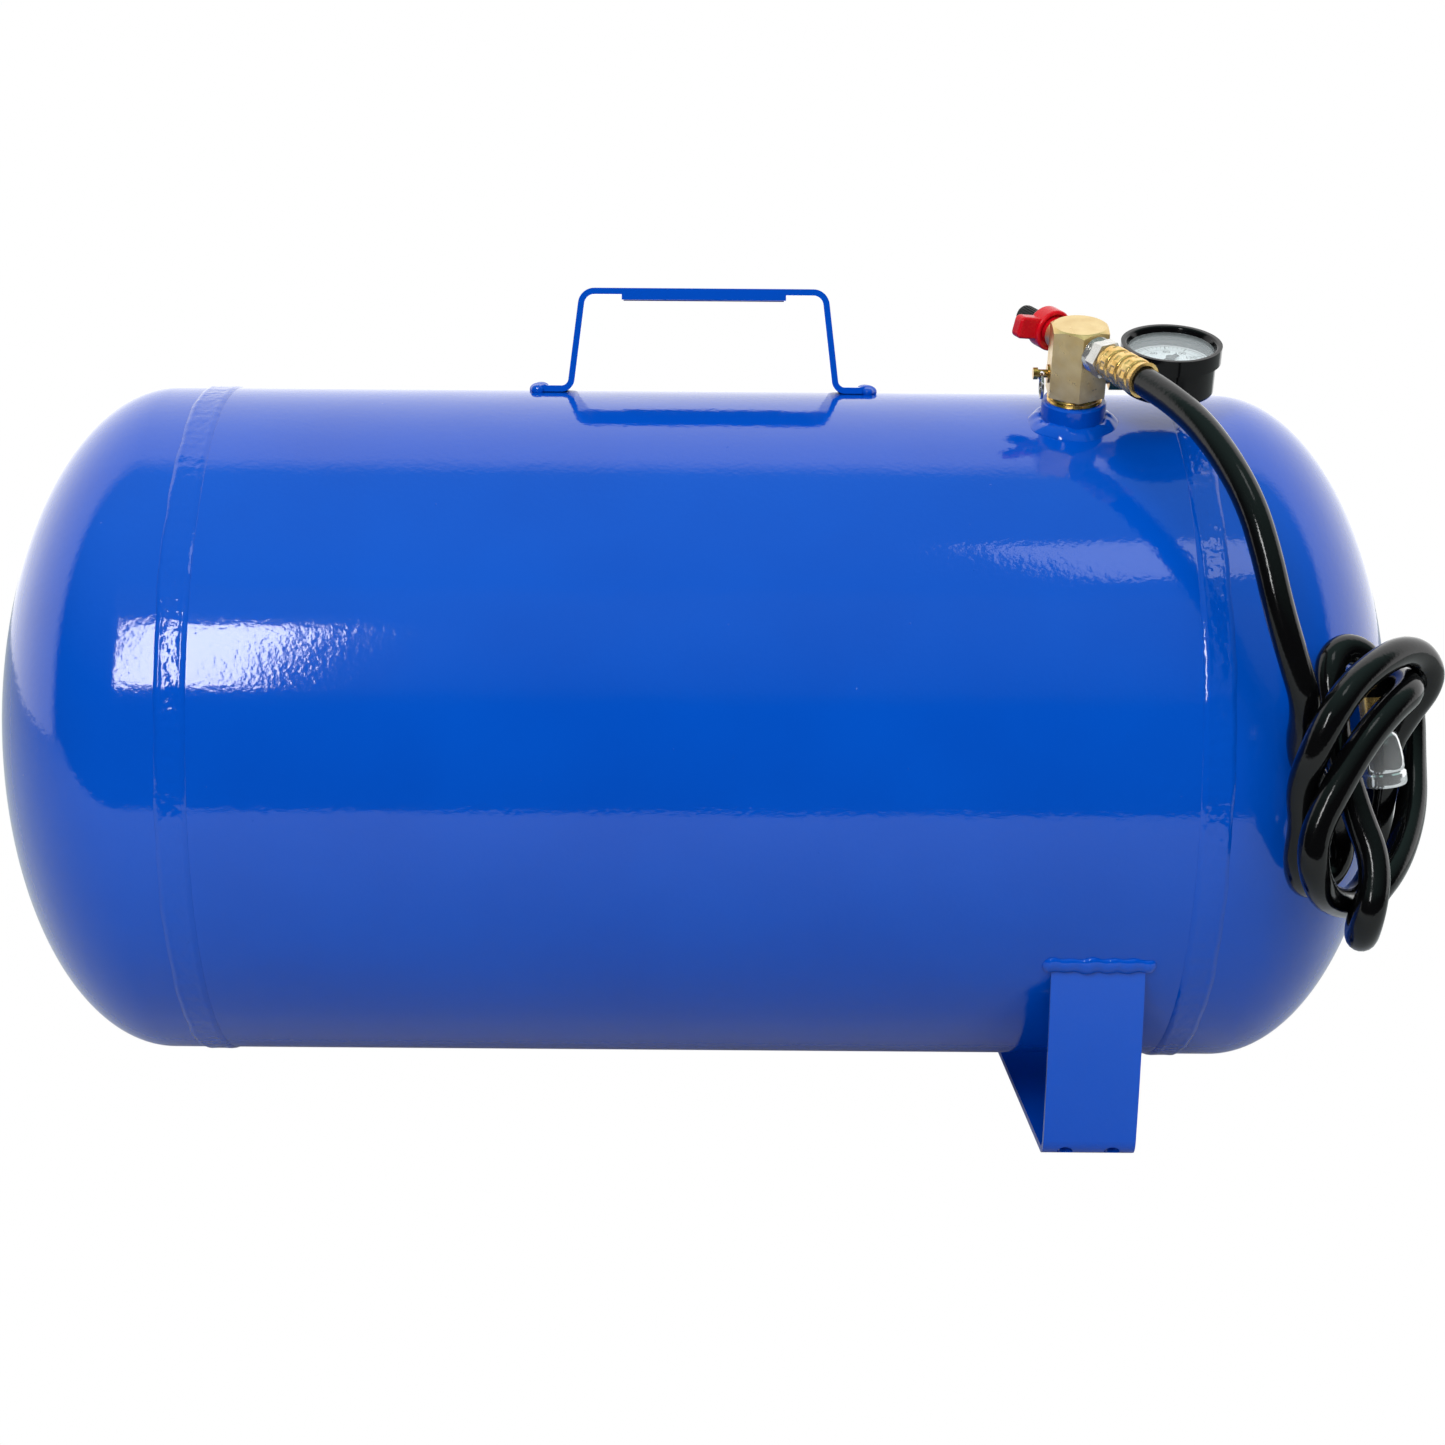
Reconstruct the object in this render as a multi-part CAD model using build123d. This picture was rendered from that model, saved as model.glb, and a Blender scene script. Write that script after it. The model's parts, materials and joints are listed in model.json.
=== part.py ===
from build123d import *
from math import cos, pi, radians, sin, sqrt, tan
import os

os.makedirs("parts", exist_ok=True)

# Air receiver tank lying on its side, millimetres.
# +X runs along the tank to its valve end, +Y to the back, +Z up.
# The origin is on the floor, under the middle of the tank.

# ---- driving dimensions ----
shell_r = 152.5                # outside radius of the rolled shell
wall = 2.6                     # steel thickness of shell and heads
head_rise = shell_r / 2        # 2:1 elliptical heads
tangent_x = 236.75             # where each head starts to curve in
joint_x = 222.0                # girth joint between shell and head skirt
axis_z = 174.0                 # height of the tank's axis above the floor
bead_width = 14.0              # painted weld band beside each girth joint
bead_height = 1.0

boss_x = 164.5                 # half coupling, rolled forward from the crown
boss_roll = 22.0               # degrees
boss_r = 14.1
boss_top = 163.0               # distances up the boss are from the tank's axis
shank_r = 10.65                # half inch taper pipe thread
hex_af = 24.0                  # manifold bar
hex_bottom = 166.4
hex_top = 197.4
upper_port = hex_top - 9.0
lower_port = hex_top - 22.5
face_z = hex_af / 2            # each port's face, measured along the port

handle_x = 3.0
strap_t = 2.8
handle_w = 32.0
handle_top = 372.5
foot_w = 40.0
foot_x = 172.5
foot_t = 2.8

hose_r = 6.25
ferrule_end = 45.0

clearance = 0.05               # radial, for shafts that turn or slide in metal

tank_axis = Location((0, 0, axis_z))
tank_body = tank_axis * Rotation(0, 90, 0) * Cylinder(shell_r, 2 * tangent_x)


def disc(radius, low, high):
    return Pos(0, 0, (low + high) / 2) * Cylinder(radius, high - low)


def ring(outer, inner, low, high):
    return disc(outer, low, high) - disc(inner, low - 1, high + 1)


def hexagon(across_flats, low, high):
    flat = RegularPolygon(across_flats / 2, 6, major_radius=False)
    return Pos(0, 0, low) * extrude(flat, high - low)


def cone(low_r, high_r, low, high):
    return Pos(0, 0, (low + high) / 2) * Cone(low_r, high_r, high - low)


def save(shape, node):
    solids = shape.solids()
    body = solids[0] if len(solids) == 1 else Compound(children=list(solids))
    export_step(body, "parts/" + node + ".step")


# ---- tank ----
def revolve_about_tank(section):
    return tank_axis * revolve(section, Axis.X, 360)


def head_solid(start_x, rise, radius):
    curve = EllipticalCenterArc((tangent_x, 0), rise, radius, start_angle=0, arc_size=90)
    edge = Polyline((tangent_x, radius), (start_x, radius), (start_x, 0), (tangent_x + rise, 0))
    return revolve_about_tank(make_face([curve, edge]))


def head():
    outside = head_solid(joint_x, head_rise, shell_r)
    return outside - head_solid(joint_x - 1, head_rise - wall, shell_r - wall)


def girth_bead():
    low = joint_x - bead_width
    crest = shell_r + bead_height
    section = Polyline(
        (low, shell_r), (low + 3, crest), (joint_x - 3, crest), (joint_x, shell_r), (low, shell_r)
    )
    return revolve_about_tank(make_face(section))


port_hole_r = 9.0
shell = tank_axis * Rotation(0, 90, 0) * ring(shell_r, shell_r - wall, -joint_x, joint_x)

station = Plane(
    origin=(boss_x, 0, axis_z),
    x_dir=(1, 0, 0),
    z_dir=(0, -sin(radians(boss_roll)), cos(radians(boss_roll))),
).location

shell -= station * disc(port_hole_r, 140, 160)
save(shell, "tank_shell")
right_head = head()
save(right_head, "right_head")
save(mirror(right_head, Plane.YZ), "left_head")
right_bead = girth_bead()
save(right_bead, "right_weld_bead")
save(mirror(right_bead, Plane.YZ), "left_weld_bead")

seam_width = 5.0
seam_angle = -140.0            # low on the back, out of sight from the front
seam_length = 2 * (joint_x - bead_width)
seam = Box(seam_length, seam_width, 2 * bead_height)
seam = tank_axis * Rotation(seam_angle, 0, 0) * Pos(0, 0, shell_r) * fillet(
    seam.edges().filter_by(Axis.X), 0.8
)
save(seam - tank_body, "shell_seam")

# ---- half coupling that the valve manifold screws into ----
weld_flare = 4.6
boss = station * (disc(boss_r, 140, boss_top) - disc(shank_r, 100, 200))
boss = chamfer(boss.edges().filter_by(GeomType.CIRCLE).sort_by(Axis.Z)[-2:], 0.8) - tank_body
save(boss, "boss")
boss_weld = station * (
    cone(boss_r + weld_flare, boss_r + 0.6, shell_r - 1.4, shell_r + 4.0) - disc(boss_r, 140, 170)
)
save(boss_weld - tank_body, "boss_weld")


# ---- lifting handle: one bent strap welded to the crown ----
handle_half_top = 56.0
handle_half_low = 61.5
handle_half_foot = 74.0
grip_half = 37.0
lip_depth = 2.4
crown_z = axis_z + shell_r
foot_mid = crown_z + strap_t / 2 - 0.5
bar_mid = handle_top - strap_t / 2

middle = FilletPolyline(
    (-handle_half_foot + strap_t / 2, foot_mid),
    (-handle_half_low + strap_t / 2, foot_mid),
    (-handle_half_top + strap_t / 2, bar_mid),
    (handle_half_top - strap_t / 2, bar_mid),
    (handle_half_low - strap_t / 2, foot_mid),
    (handle_half_foot - strap_t / 2, foot_mid),
    radius=[4.5, 6.0, 6.0, 4.5],
)
strap_face = make_face(offset(middle, amount=strap_t / 2, kind=Kind.INTERSECTION, side=Side.BOTH))
upright = Plane(origin=(handle_x, handle_w / 2, 0), x_dir=(1, 0, 0), z_dir=(0, -1, 0))
handle = upright.location * extrude(strap_face, handle_w)
lip = Box(2 * grip_half, 1.6, lip_depth)
for side in (-1, 1):
    handle += Pos(handle_x, side * (handle_w / 2 - 0.8), handle_top - strap_t - lip_depth / 2) * lip
handle -= tank_body
save(handle, "handle_strap")

handle_bead = Rotation(90, 0, 0) * Cylinder(3.2, handle_w + 4)
handle_welds = [
    Pos(handle_x + side * (handle_half_foot + 0.6), 0, crown_z + 0.8) * handle_bead - handle - tank_body
    for side in (-1, 1)
]
save(Compound(children=handle_welds), "handle_welds")

# ---- foot: one U-shaped strap under the valve end ----
foot_half_base = 112.0
foot_half_top = 125.0
foot_leg_z = 87.0
foot_bulge = 1.5
foot_bend_r = 9.0
gusset_r = 3.4
gusset_pitch = 10.2


def foot_outline(inset):
    base = foot_half_base - inset
    top = foot_half_top - inset
    mid = (base + top) / 2 + foot_bulge
    right = ThreePointArc((base, inset), (mid, foot_leg_z / 2), (top, foot_leg_z + 10))
    left = ThreePointArc((-top, foot_leg_z + 10), (-mid, foot_leg_z / 2), (-base, inset))
    face = make_face([Line((-base, inset), (base, inset)), right, Line((top, foot_leg_z + 10),
                     (-top, foot_leg_z + 10)), left])
    return fillet(face.vertices().sort_by(Axis.Y)[:2], foot_bend_r - inset)


end_on = Plane(origin=(foot_x - foot_w / 2, 0, 0), x_dir=(0, 1, 0), z_dir=(1, 0, 0))
foot = end_on.location * extrude(foot_outline(0) - foot_outline(foot_t), foot_w)
groove = Rotation(45, 0, 0) * Cylinder(gusset_r, 26)
for side in (-1, 1):
    for step in (-1, 1):
        press = Location((foot_x + step * gusset_pitch, side * foot_half_base, 0), (side * 90, 0, 0))
        foot -= press * groove
foot -= tank_body
save(foot, "foot_strap")

foot_bead = Rotation(0, 90, 0) * Cylinder(4.4, foot_w + 7)
foot_welds = [
    Pos(foot_x, side * (foot_half_top + 0.5), foot_leg_z + 0.5) * foot_bead - foot - tank_body
    for side in (-1, 1)
]
save(Compound(children=foot_welds), "foot_welds")


# ---- manifold: one hexagonal brass bar drilled for four fittings ----
def port(azimuth, height):
    """Frame of a port: z runs out of the bar, y up the bar, azimuth 0 faces forward."""
    turn = radians(azimuth)
    return station * Plane(
        origin=(0, 0, height), x_dir=(cos(turn), sin(turn), 0), z_dir=(sin(turn), -cos(turn), 0)
    ).location


hose_port = port(30, upper_port)
valve_port = port(-150, upper_port)
gauge_port = port(90, lower_port)
relief_port = port(-90, lower_port)

hose_bore_r = 5.0
valve_bore_r = 5.0
gauge_bore_r = 4.2
relief_bore_r = 4.0
riser_r = 3.6
bar_chamfer = 1.7

bar = Rotation(0, 0, 30) * hexagon(hex_af, hex_bottom, hex_top)
corner_r = hex_af / sqrt(3)
turned = disc(corner_r + 1, hex_bottom, hex_top - bar_chamfer)
turned += cone(corner_r + 0.1, hex_af / 2 - 0.6, hex_top - bar_chamfer, hex_top)
bar = bar & turned
bar += disc(shank_r + 0.7, 164.2, hex_bottom)
bar += disc(shank_r, 153.0, 164.2)
bar -= disc(riser_r, 150.0, upper_port)
manifold = station * bar
for place, radius in (
    (hose_port, hose_bore_r),
    (valve_port, valve_bore_r),
    (gauge_port, gauge_bore_r),
    (relief_port, relief_bore_r),
):
    manifold -= place * disc(radius, 2.0, face_z + 1)
save(manifold, "manifold_block")

# ---- shut-off valve with the filling valve on the end of its spindle ----
spindle_r = 3.0
collar_r = 4.2                 # collars on the spindle: one shuts the valve, one carries the knob
bonnet_r = 6.8
bonnet_low = 9.5
bonnet_high = 15.2
seal_r = 6.2
seal_bore_r = 5.0
seal_t = 0.9
knob_low = 17.5
knob_high = 25.4
knob_r = 9.2
hub_r = 6.0                    # hub reaching from the knob to just short of the bonnet
hub_low = 15.8
knob_recess = 1.6
knob_rim = 1.6
wing_reach = 18.4
wing_wide = 9.8
wing_set_in = 1.2
wing_turn = 14.0               # degrees, how the knob has been left
stem_low = 27.0
stem_high = 37.0

bonnet = disc(valve_bore_r, bonnet_low, face_z) + disc(bonnet_r, face_z, bonnet_high)
bonnet -= ring(seal_r, seal_bore_r - 0.1, face_z - 0.1, face_z + seal_t)
bonnet += disc(seal_bore_r, face_z - 0.5, face_z + 1)
bonnet -= disc(spindle_r + clearance, 0, 20)
bonnet_seal = ring(seal_r, seal_bore_r, face_z, face_z + seal_t)
spindle = disc(spindle_r, 5.0, stem_low) + disc(collar_r, 4.2, 6.2) + disc(collar_r, 16.0, 17.2)
knob_clip = ring(4.6, spindle_r, knob_high + 0.3, knob_high + 1.3)
fill_stem_r = 3.85
core_r = 2.6
fill_stem = ring(fill_stem_r, core_r, stem_low, stem_high) + disc(fill_stem_r, stem_low, 28.5)
fill_core = ring(core_r, 0.9, 29.5, 35.0)
core_pin = disc(0.75, 30.4, stem_high + 0.4) + disc(1.3, 36.3, 36.8)
cap_r = 4.5
cap_low = 28.6
cap_high = 39.6
cap_rib = 0.6
cap_ribs = 24
dust_cap = disc(cap_r, cap_low, cap_high) - disc(fill_stem_r + 0.1, cap_low - 1, stem_high + 1.2)
rib = Pos(cap_r, 0, cap_low + 5.6) * Box(cap_rib, cap_rib, 8.4)
for index in range(cap_ribs):
    dust_cap += Rotation(0, 0, index * 360 / cap_ribs) * rib

wing_plan = RectangleRounded(2 * wing_reach, wing_wide, 2.4)
wings = Pos(0, 0, knob_low + wing_set_in) * extrude(wing_plan, knob_high - knob_low - 2 * wing_set_in)
wings = fillet(wings.faces().filter_by(Axis.Z).edges(), 1.2)
knob = disc(knob_r, knob_low, knob_high)
knob = fillet(knob.edges().filter_by(GeomType.CIRCLE), 1.0)
knob = knob + Rotation(0, 0, wing_turn) * wings
knob -= disc(knob_r - knob_rim, knob_low - 1, knob_low + knob_recess)
knob += disc(hub_r, hub_low, knob_low + knob_recess + 0.1)
knob -= disc(collar_r + clearance, hub_low - 1, knob_low - 0.3)
knob -= disc(spindle_r + clearance, hub_low, knob_high + 1)

for node, shape in {
    "valve_bonnet": bonnet,
    "bonnet_seal": bonnet_seal,
    "valve_spindle": spindle,
    "knob_clip": knob_clip,
    "fill_stem": fill_stem,
    "fill_core": fill_core,
    "core_pin": core_pin,
    "dust_cap": dust_cap,
    "valve_knob": knob,
}.items():
    save(valve_port * shape, node)

# ---- safety relief valve with its pull ring ----
relief_pin_r = 1.8
relief_hole_z = 15.0
relief_pocket_r = 3.2
ring_r = 5.2
ring_wire_r = 0.5
relief_spring_r = 2.5

relief_body = disc(relief_bore_r, 4.0, face_z + 0.8)
relief_body -= disc(relief_pocket_r, 3.0, 10.4)
relief_body -= disc(relief_pin_r + clearance, 3.0, 20.0)
relief_stem = disc(relief_pin_r, 4.2, 17.0) + disc(2.9, 4.2, 5.2) + disc(2.6, 16.8, 18.8)
relief_stem = relief_port * relief_stem
hole_centre = (relief_port * Pos(0, 0, relief_hole_z)).position
relief_stem -= Pos(hole_centre) * Rotation(90, 0, 0) * Cylinder(1.0, 12)
pull_ring = Pos(hole_centre - Vector(0, 0, ring_r + 0.15)) * Rotation(0, 90, 0) * Torus(ring_r, ring_wire_r)


def coil_spring(mean_r, wire_r, low, high, turns):
    """Helical spring with its wire swept along the middle of the coil."""
    path = Helix(pitch=(high - low - 2 * wire_r) / turns, height=high - low - 2 * wire_r, radius=mean_r)
    start = Plane(origin=path @ 0, z_dir=path % 0)
    wire = sweep(start * Circle(wire_r), path=path, is_frenet=True)
    return Pos(0, 0, low + wire_r) * wire


relief_spring = coil_spring(relief_spring_r, 0.3, 5.25, 10.35, 5)
save(relief_port * relief_body, "relief_body")
save(relief_port * relief_spring, "relief_spring")
save(relief_stem, "relief_stem")
save(pull_ring, "pull_ring")

# ---- pressure gauge, dial facing out from the tank ----
gauge_reach = 40.0             # manifold axis to gauge axis
case_r = 19.7
case_in = 18.3
case_low = 168.0
case_high = 184.0
bezel_r = 21.7
bezel_high = 189.5
stem_r = 4.2
dial_z = 180.5
pinion_r = 1.6
sector_r = 9.6
arbor_gap = 0.1
tube_r = 14.9

gauge = station * Pos(gauge_reach, 0, 0)
case = disc(case_r, case_low, case_high) - disc(case_in, case_low + 1.4, case_high + 1)
case = fillet(case.edges().filter_by(GeomType.CIRCLE).sort_by(Axis.Z)[0], 1.5)
bezel = disc(bezel_r, 182.4, bezel_high) - disc(case_r, 182.0, 186.2)
bezel -= cone(17.8, 19.4, 186.0, bezel_high + 0.01)
bezel = fillet(bezel.edges().filter_by(GeomType.CIRCLE).sort_by(Axis.Z)[-1], 1.2)
gasket = ring(case_r, case_in, case_high, case_high + 0.6)
lens = disc(case_r, case_high + 0.6, 186.2)
dial = ring(18.1, 1.4, dial_z, dial_z + 0.5)
plate_low = (173.0, 173.8)
plate_high = (178.2, 179.0)
sector_x = pinion_r + sector_r + arbor_gap
arbor_r = 0.6
sector_arbor_r = 0.8

plate = Pos(5.6, 0, 0) * extrude(SlotOverall(22.0, 9.0), plate_low[1] - plate_low[0])
movement = Pos(0, 0, plate_low[0]) * plate + Pos(0, 0, plate_high[0]) * plate
for place in ((0.5, 3.7), (0.5, -3.7)):
    movement += Pos(place[0], place[1], 0) * disc(0.7, plate_low[0], dial_z)
movement += Pos(-2.0, 0, 0) * disc(0.7, case_low + 1.4, plate_low[0])
movement += Pos(12.5, 0, 0) * disc(1.0, case_low + 1.4, plate_low[0])
movement -= disc(arbor_r + clearance, 170, 180)
movement -= Pos(sector_x, 0, 0) * disc(sector_arbor_r + clearance, 170, 180)
needle = Pos(0, 0, 182.2) * extrude(
    make_face(Polyline((-5.0, -1.1), (14.5, -0.3), (14.5, 0.3), (-5.0, 1.1), (-5.0, -1.1))), 0.6
)
needle_turn = 225.0            # the needle points at zero, low on the left
needle = Rotation(0, 0, needle_turn) * needle + disc(2.0, 181.6, 183.2)
pinion = disc(arbor_r, 172.6, 182.0) + disc(pinion_r, 175.0, 177.4)
sector_shape = Circle(sector_r) & (Pos(-sector_r, 0) * Rectangle(2 * sector_r, 11.6))
sector_shape = sector_shape - Pos(0, 9.0) * Circle(6.0) - Pos(0, -9.0) * Circle(6.0)
sector = Pos(0, 0, 175.7) * extrude(sector_shape + Circle(2.2), 1.0)
sector = Pos(sector_x, 0, 0) * (sector + disc(sector_arbor_r, 172.6, 179.4))
socket = Box(5.0, 7.0, 5.0)
stem = hexagon(12.0, 14.0, gauge_reach - case_r) + disc(gauge_bore_r, 5.0, 14.0)
stem += disc(stem_r, 14.0, gauge_reach - case_in)
stem_world = gauge_port * stem + station * Pos(gauge_reach - 15.9, 0, lower_port + 0.2) * socket
tube_path = CenterArc((0, 0, 0), tube_r, 192, 290)
tube_section = Plane(origin=tube_path @ 0, z_dir=tube_path % 0) * Rectangle(1.6, 4.2)
bourdon = Pos(0, 0, 176.0) * sweep(tube_section, path=tube_path)
bourdon = gauge * bourdon - stem_world
case_world = gauge * case - stem_world
screw_head = ring(1.1, 0.7, dial_z + 0.5, dial_z + 1.0) + disc(0.7, dial_z, dial_z + 1.0)
dial_screws = [Pos(0.5, side * 3.7, 0) * screw_head for side in (-1, 1)]
for screw in dial_screws:
    dial -= screw

save(stem_world, "gauge_stem")
save(case_world, "gauge_case")
save(bourdon, "bourdon_tube")
for node, shape in {
    "gauge_bezel": bezel,
    "lens_gasket": gasket,
    "gauge_lens": lens,
    "gauge_dial": dial,
    "movement_frame": movement,
    "gauge_needle": needle,
    "pinion": pinion - disc(2.0, 181.6, 183.2),
    "sector_gear": sector,
    "dial_screws": Compound(children=dial_screws),
}.items():
    save(gauge * shape, node)

# ---- hose fittings at the manifold ----
barb_r = 3.6
nipple = disc(hose_bore_r, 4.0, face_z) + disc(6.4, face_z, 15.5) + hexagon(14.6, 15.5, 20.8)
nipple += disc(barb_r, 20.8, 42.0)
nipple -= disc(2.2, 3.0, 43.0)
ferrule = ring(7.1, hose_r, 21.6, ferrule_end)
ferrule += ring(hose_r + 0.1, barb_r, 20.8, 22.6) + ring(7.75, hose_r, ferrule_end - 1.2, ferrule_end)
for low in (23.6, 30.2, 36.8):
    ferrule += ring(7.45, 7.0, low, low + 4.6)
save(hose_port * nipple, "hose_nipple")
save(hose_port * ferrule, "hose_ferrule")

# ---- air chuck at the far end of the hose ----
chuck_point = (279.0, -155.0, 196.0)
chuck_dir = Vector(0.15, 0.05, -0.987)
chuck = Plane(origin=chuck_point, z_dir=chuck_dir).location
mouth_r = 4.0
pin_r = 1.3
air_bore_r = 2.0
chuck_ferrule_r = 7.2
chuck_ferrule_top = -13.0
chuck_tip_r = 4.6
hose_end = -1.6
chuck_ferrule = ring(chuck_ferrule_r, hose_r, chuck_ferrule_top, hose_end)
chuck_ferrule += ring(chuck_ferrule_r, air_bore_r, hose_end, hose_end + 0.6)
chuck_ferrule += ring(chuck_tip_r, air_bore_r, hose_end, 3.0)
chuck_body = cone(5.2, 8.4, 1.5, 21.0) + disc(9.0, 21.0, 25.0)
chuck_body -= disc(chuck_tip_r, 0.0, 3.0)
chuck_body -= disc(2.4, 0.0, 9.0)
chuck_body -= disc(4.2, 9.0, 20.0)
chuck_body -= disc(7.0, 20.0, 26.0)
chuck_seal = ring(7.0, mouth_r, 20.0, 24.2)
pin_guide = ring(4.2, pin_r + clearance, 9.0, 11.0)
chuck_pin = disc(pin_r, 6.2, 19.6) + disc(2.6, 15.5, 16.5)
chuck_spring = coil_spring(2.6, 0.3, 11.05, 15.45, 4)
for node, shape in {
    "chuck_ferrule": chuck_ferrule,
    "chuck_body": chuck_body + pin_guide,
    "chuck_seal": chuck_seal,
    "chuck_pin": chuck_pin,
    "chuck_spring": chuck_spring,
}.items():
    save(chuck * shape, node)

# ---- hose: the hanging run as a tube, the knotted turns as one oval ring ----
port_out = (hose_port * Pos(0, 0, 1)).position - hose_port.position
hose_start = (hose_port * Pos(0, 0, 22.6)).position
hose_mouth = (hose_port * Pos(0, 0, ferrule_end)).position
route = [
    hose_start,
    hose_mouth + port_out * 4,
    Vector(203, -136, 320),
    Vector(213, -155, 304),
    Vector(221, -169, 286),
    Vector(226, -178, 266),
    Vector(230, -184, 246),
    Vector(236, -187, 226),
    Vector(242.5, -186, 207.5),
]


def bend_radii(points):
    radii = []
    for before, here, after in zip(points, points[1:], points[2:]):
        first = here - before
        second = after - here
        half_turn = radians(first.get_angle(second)) / 2
        radii.append(0.45 * min(first.length, second.length) / tan(half_turn))
    return radii


radii = bend_radii(route)
run_path = FilletPolyline(*route, radius=radii)
run_section = Plane(origin=run_path @ 0, z_dir=run_path % 0) * Circle(hose_r)
hose_run = sweep(run_section, path=run_path)
print("bend radii", [round(r) for r in radii])
print("run length %.1f" % run_path.length)
print("tube volume ratio %.4f" % (hose_run.volume / (run_path.length * pi * hose_r**2)))
hose_run -= hose_port * disc(barb_r, 20.0, 42.0)

coil_centre = (273.9, -162.1, 172.5)
coil_along = Vector(1, 1, 0).normalized()
coil_out = Vector(1, -1, 0).normalized()
coil_half_wide = 54.0
coil_half_high = 58.0
coil_hole_wide = 31.0
coil_hole_high = 34.0
coil_thick = 31.0
coil_plane = Plane(origin=coil_centre, x_dir=coil_along, z_dir=coil_out)
hose_coil = extrude(Ellipse(coil_half_wide, coil_half_high), coil_thick / 2, both=True)
hose_coil -= extrude(Ellipse(coil_hole_wide, coil_hole_high), coil_thick, both=True)
hose_coil = coil_plane.location * fillet(hose_coil.edges(), 9.0)
hose_coil = hose_coil - hose_run - chuck * disc(chuck_ferrule_r, chuck_ferrule_top, hose_end + 0.6)
hose_coil += chuck * disc(hose_r, chuck_ferrule_top - 2, hose_end)
save(hose_run, "hose_run")
save(hose_coil, "hose_coil")
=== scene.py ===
import json
from math import cos, pi, radians, sin, tau
import bpy
import bmesh
import numpy as np
from mathutils import Matrix, Vector


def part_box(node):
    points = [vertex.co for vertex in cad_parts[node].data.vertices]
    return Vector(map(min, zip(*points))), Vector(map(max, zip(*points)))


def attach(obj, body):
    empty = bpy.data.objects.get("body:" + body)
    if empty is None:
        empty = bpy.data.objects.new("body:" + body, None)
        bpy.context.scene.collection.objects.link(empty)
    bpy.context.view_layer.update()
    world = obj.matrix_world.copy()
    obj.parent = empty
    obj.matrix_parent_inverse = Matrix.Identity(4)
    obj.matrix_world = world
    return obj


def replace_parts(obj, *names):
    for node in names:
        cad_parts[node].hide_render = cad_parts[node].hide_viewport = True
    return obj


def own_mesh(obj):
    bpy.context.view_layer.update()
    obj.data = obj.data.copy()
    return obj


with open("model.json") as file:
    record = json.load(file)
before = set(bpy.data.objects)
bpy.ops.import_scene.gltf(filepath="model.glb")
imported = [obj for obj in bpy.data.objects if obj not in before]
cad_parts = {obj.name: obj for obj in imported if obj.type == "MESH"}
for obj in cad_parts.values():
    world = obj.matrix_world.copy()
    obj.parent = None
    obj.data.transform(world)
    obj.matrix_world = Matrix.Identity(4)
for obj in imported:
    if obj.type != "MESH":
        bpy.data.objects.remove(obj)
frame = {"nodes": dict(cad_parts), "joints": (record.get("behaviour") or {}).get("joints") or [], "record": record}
nodes = frame["nodes"]
joints = {joint["name"]: joint for joint in frame["joints"]}
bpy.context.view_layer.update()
mm = 0.001
print("frame loaded:", len(nodes), "nodes")


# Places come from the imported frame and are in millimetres.
def boxMm(node):
    return [np.array(corner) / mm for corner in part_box(node)]


shellBox = boxMm("tank_shell")
shellR = (shellBox[1][2] - shellBox[0][2]) / 2
axisZ = (shellBox[1][2] + shellBox[0][2]) / 2
jointX = shellBox[1][0]                      # girth joint between shell and head
headReach = boxMm("right_head")[1][0]        # outermost point of the head
headRise = shellR / 2                        # 2:1 elliptical head
tangentX = headReach - headRise
bossUp = -np.array(joints["needle_sweep"]["axis"])
bossX = sum(corner[0] for corner in boxMm("boss")) / 2

manifoldSpec = {
    "top": 197.4,              # up the boss, from the tank's axis
    "upperPorts": 9.0,         # down from the top
    "reliefPort": 22.5,        # down from the top
    "gaugeOut": 40.0,          # gauge's middle, along the tank from the boss
}


def axes(origin, xDir, zDir):
    # a local frame: z is zDir at length one, x is xDir less its part along z, y = z cross x
    z = np.array(zDir, float) / np.linalg.norm(zDir)
    x = np.array(xDir, float) - np.dot(xDir, z) * z
    x /= np.linalg.norm(x)
    return np.array(origin, float), x, np.cross(z, x), z


station = axes((bossX, 0, axisZ), (1, 0, 0), bossUp)


def port(azimuth, height):
    # a port's frame on the manifold: z runs out of the bar, y up it, azimuth 0 faces forward
    origin, x, y, up = station
    turn = radians(azimuth)
    outward = sin(turn) * x - cos(turn) * y
    return origin + height * up, np.cross(up, outward), up, outward


hosePort = port(30, manifoldSpec["top"] - manifoldSpec["upperPorts"])
reliefPort = port(-90, manifoldSpec["top"] - manifoldSpec["reliefPort"])
gauge = axes(station[0] + manifoldSpec["gaugeOut"] * station[1], (1, 0, 0), bossUp)


def place(points, where):
    # p = origin + x X + y Y + z Z, millimetres to metres
    origin, x, y, z = where
    return (origin + points[..., :1] * x + points[..., 1:2] * y + points[..., 2:3] * z) * mm


tankAxis = axes((0, 0, axisZ), (0, 0, 1), (1, 0, 0))     # z along the tank, x up


def linear(code):
    # sRGB hex to linear: c / 12.92 up to 0.04045, else ((c + 0.055) / 1.055)^2.4
    parts = [int(code[i:i + 2], 16) / 255 for i in (1, 3, 5)]
    return (*[p / 12.92 if p <= 0.04045 else ((p + 0.055) / 1.055) ** 2.4 for p in parts], 1.0)


def addNode(tree, kind, inputs=None, **settings):
    # a node with its settings, its inputs set to values or linked from other sockets
    node = tree.nodes.new(kind)
    for name, value in settings.items():
        setattr(node, name, value)
    for name, value in (inputs or {}).items():
        socket = node.inputs[name]
        if isinstance(value, bpy.types.NodeSocket):
            tree.links.new(value, socket)
        else:
            socket.default_value = value
    return node


def newMaterial(name):
    material = bpy.data.materials.new(name)
    material.use_nodes = True
    tree = material.node_tree
    coords = addNode(tree, "ShaderNodeTexCoord").outputs["Object"]
    return material, tree, tree.nodes["Principled BSDF"], coords


def perMm(size):
    # noise scale that gives features of this size in millimetres: 1000 / size
    return 1000.0 / size


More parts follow.
